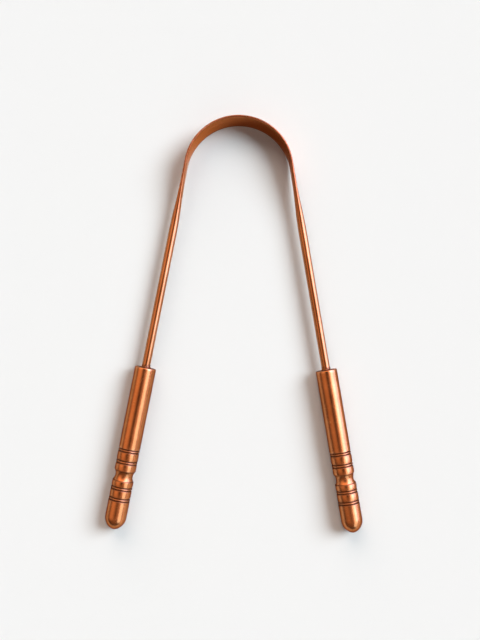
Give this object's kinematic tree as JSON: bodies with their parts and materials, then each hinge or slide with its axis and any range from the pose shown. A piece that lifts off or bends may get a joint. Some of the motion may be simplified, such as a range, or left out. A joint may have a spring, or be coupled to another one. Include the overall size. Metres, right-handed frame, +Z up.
{
  "type": "tongue scraper",
  "caption": "Bow-shaped tongue scraper of copper: a round wire flattened into a leaning blade at the arch, with turned, grooved handles soldered on its ends.",
  "frame": {"origin": "under the middle of the whole outline, on the surface that the scraper lies on", "axes": "+Z up from that surface, +Y from the handles' tips towards the arch, X across from left to right handle"},
  "size_m": [0.0868, 0.1391, 0.0087],
  "materials": {
    "bow_copper": "drawn and flattened copper wire, satin",
    "handle_copper": "turned copper bar, satin with fine turning marks",
    "solder": "copper-coloured braze, slightly dull"
  },
  "bodies": {
    "root": {"scraper_bow": "bow_copper", "left_handle": "handle_copper", "right_handle": "handle_copper", "left_solder_joint": "solder", "right_solder_joint": "solder"}
  },
  "joints": []
}
